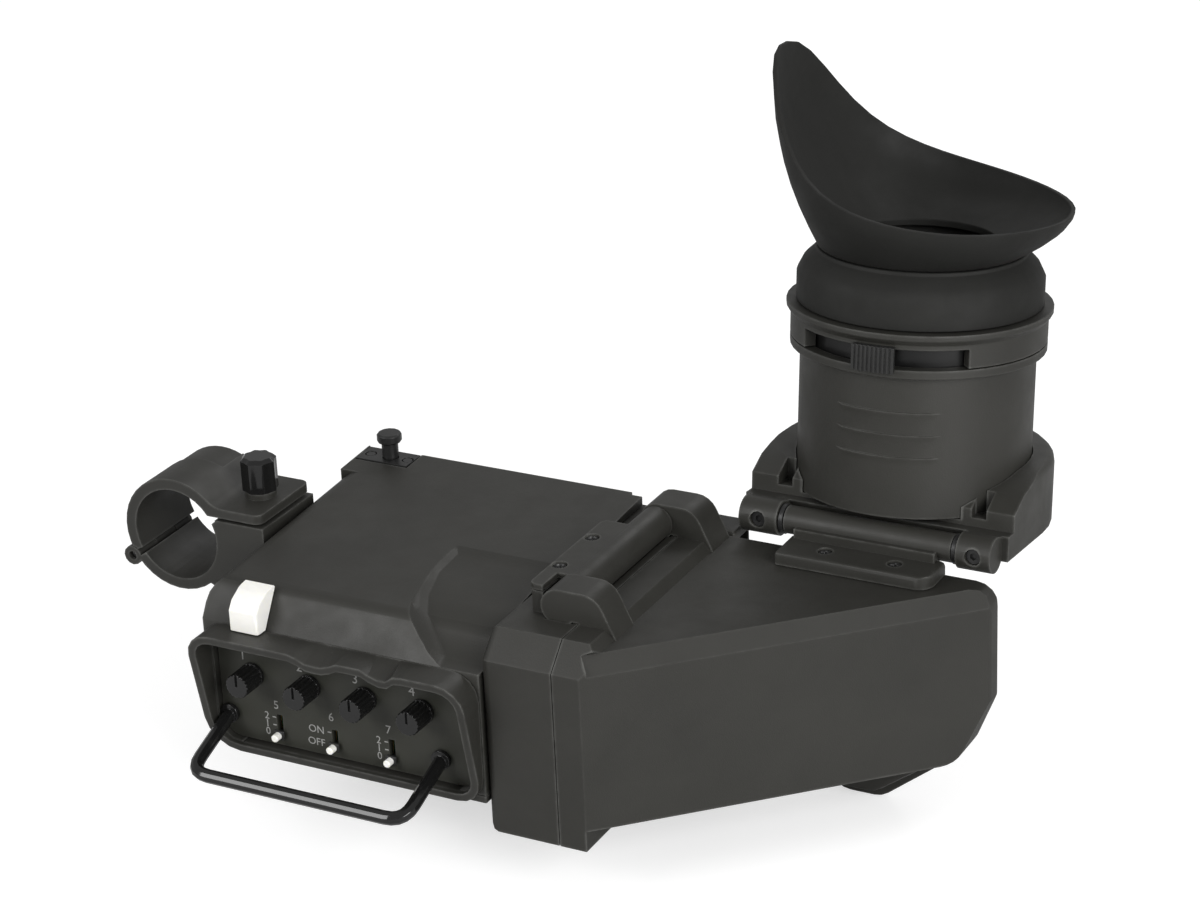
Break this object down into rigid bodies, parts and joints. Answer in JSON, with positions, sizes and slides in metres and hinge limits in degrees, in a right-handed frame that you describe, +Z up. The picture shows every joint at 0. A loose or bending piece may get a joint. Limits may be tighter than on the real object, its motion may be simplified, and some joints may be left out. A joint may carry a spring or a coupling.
{
  "type": "electronic viewfinder",
  "caption": "Camera viewfinder: control box with knobs, display behind a hinged mirror housing, hinged eyepiece with focus ring and rubber eyecup, microphone clamp.",
  "frame": {"origin": "middle of the floor of the slide channel in the back of the control box, where the camera's rail seats", "axes": "+X to the right, from the microphone holder to the mirror housing; +Y to the back, towards the operator; +Z up"},
  "size_m": [0.2572, 0.1948, 0.206],
  "materials": {
    "body_paint": "black crackle paint, satin",
    "panel_paint": "smooth black paint",
    "black_plastic": "fine moulded texture",
    "gloss_black": "glossy black",
    "white_plastic": "smooth, translucent",
    "rubber": "soft matt rubber",
    "glass": "coated glass",
    "mirror": "front-silvered",
    "steel": "ground steel",
    "black_metal": "blackened steel",
    "dark_metal": "hard anodised, dark grey",
    "circuit_board": "green solder resist"
  },
  "bodies": {
    "root": {"backlight": "white_plastic", "base_cover": "body_paint", "control_board": "circuit_board", "control_box": "body_paint", "control_panel": "panel_paint", "cover_screw_1": "black_metal", "cover_screw_2": "black_metal", "cover_screw_3": "black_metal", "cover_screw_4": "black_metal", "guard_bar": "gloss_black", "hinge_leaf": "body_paint", "lcd_panel": "glass", "leaf_screw_1": "black_metal", "leaf_screw_2": "black_metal", "mic_bracket": "body_paint", "mic_pivot_pin": "steel", "mirror_hinge_pin": "steel", "panel_hood": "body_paint", "screen_bezel": "black_plastic", "screen_board": "circuit_board", "screen_housing": "body_paint", "slide_channel": "dark_metal", "slide_screw_1": "steel", "slide_screw_2": "steel", "stop_plate": "black_metal", "stop_spring": "steel", "tally_lamp": "white_plastic"},
    "mirror_unit": {"mirror_housing": "body_paint", "mirror": "mirror", "mirror_clip": "black_plastic", "rear_frame": "body_paint", "latch_block": "body_paint", "eyepiece_hinge_plate": "body_paint", "hinge_plate_screw_1": "black_metal", "hinge_plate_screw_2": "black_metal", "eyepiece_hinge_pin": "steel"},
    "eyepiece": {"eyepiece_base": "body_paint", "hinge_washer_left": "steel", "hinge_washer_right": "steel", "eyepiece_tube": "body_paint", "collar_ring": "body_paint", "collar": "body_paint", "field_lens": "glass", "rubber_neck": "rubber"},
    "focus": {"focus_ring": "black_plastic"},
    "lens": {"lens_cell": "black_plastic", "eye_lens": "glass", "retaining_ring": "black_metal"},
    "cup": {"eyecup": "rubber"},
    "knob_a": {"knob_1": "gloss_black"},
    "knob_b": {"knob_2": "gloss_black"},
    "knob_c": {"knob_3": "gloss_black"},
    "knob_d": {"knob_4": "gloss_black"},
    "switch_a": {"switch_lever_1": "white_plastic"},
    "switch_b": {"switch_lever_2": "white_plastic"},
    "switch_c": {"switch_lever_3": "white_plastic"},
    "stop": {"stop_pin": "black_metal"},
    "jaw": {"mic_jaw": "body_paint"},
    "clamp": {"clamp_knob": "gloss_black"}
  },
  "joints": [
    {"name": "mirror_flip", "type": "hinge", "parent": "root", "child": "mirror_unit", "pos_m": [0.0612, -0.0325, 0.0208], "axis": [0, -1, 0], "range_deg": [0, 90]},
    {"name": "eyepiece_flip", "type": "hinge", "parent": "mirror_unit", "child": "eyepiece", "pos_m": [0.12, 0.007, 0.0212], "axis": [-1, 0, 0], "range_deg": [0, 84]},
    {"name": "focus_turn", "type": "hinge", "parent": "eyepiece", "child": "focus", "pos_m": [0.12, 0.04355, 0.06763], "axis": [0, 0.1045, 0.9945], "range_deg": [-30, 30]},
    {"name": "lens_shift", "type": "slide", "parent": "eyepiece", "child": "lens", "axis": [0, 0.1045, 0.9945], "range_m": [-0.0015, 0.0015]},
    {"name": "cup_turn", "type": "hinge", "parent": "eyepiece", "child": "cup", "pos_m": [0.12, 0.04669, 0.09747], "axis": [0, 0.1045, 0.9945], "continuous": true},
    {"name": "knob_a_turn", "type": "hinge", "parent": "root", "child": "knob_a", "pos_m": [-0.03048, -0.084, -0.011], "axis": [0, 1, 0], "range_deg": [-140, 140]},
    {"name": "knob_b_turn", "type": "hinge", "parent": "root", "child": "knob_b", "pos_m": [-0.01168, -0.084, -0.011], "axis": [0, 1, 0], "range_deg": [-140, 140]},
    {"name": "knob_c_turn", "type": "hinge", "parent": "root", "child": "knob_c", "pos_m": [0.00666, -0.084, -0.011], "axis": [0, 1, 0], "range_deg": [-140, 140]},
    {"name": "knob_d_turn", "type": "hinge", "parent": "root", "child": "knob_d", "pos_m": [0.02501, -0.084, -0.011], "axis": [0, 1, 0], "range_deg": [-140, 140]},
    {"name": "switch_a_slide", "type": "slide", "parent": "root", "child": "switch_a", "axis": [0, 0, 1], "range_m": [0, 0.005]},
    {"name": "switch_b_slide", "type": "slide", "parent": "root", "child": "switch_b", "axis": [0, 0, 1], "range_m": [0, 0.004]},
    {"name": "switch_c_slide", "type": "slide", "parent": "root", "child": "switch_c", "axis": [0, 0, 1], "range_m": [0, 0.005]},
    {"name": "stop_lift", "type": "slide", "parent": "root", "child": "stop", "axis": [0, 0, 1], "range_m": [0, 0.004], "stiffness_N_per_m": 400, "springref_m": -0.002, "deforming": ["stop_spring"]},
    {"name": "jaw_open", "type": "hinge", "parent": "root", "child": "jaw", "pos_m": [-0.0926, -0.037, 0.0006], "axis": [0, -1, 0], "range_deg": [0, 60]},
    {"name": "clamp_turn", "type": "hinge", "parent": "jaw", "child": "clamp", "pos_m": [-0.054, -0.03685, 0.025], "axis": [0, 0, 1], "continuous": true}
  ],
  "couplings": [
    {"joint": "focus_turn", "follows": "lens_shift", "rad_per_m": 349}
  ]
}
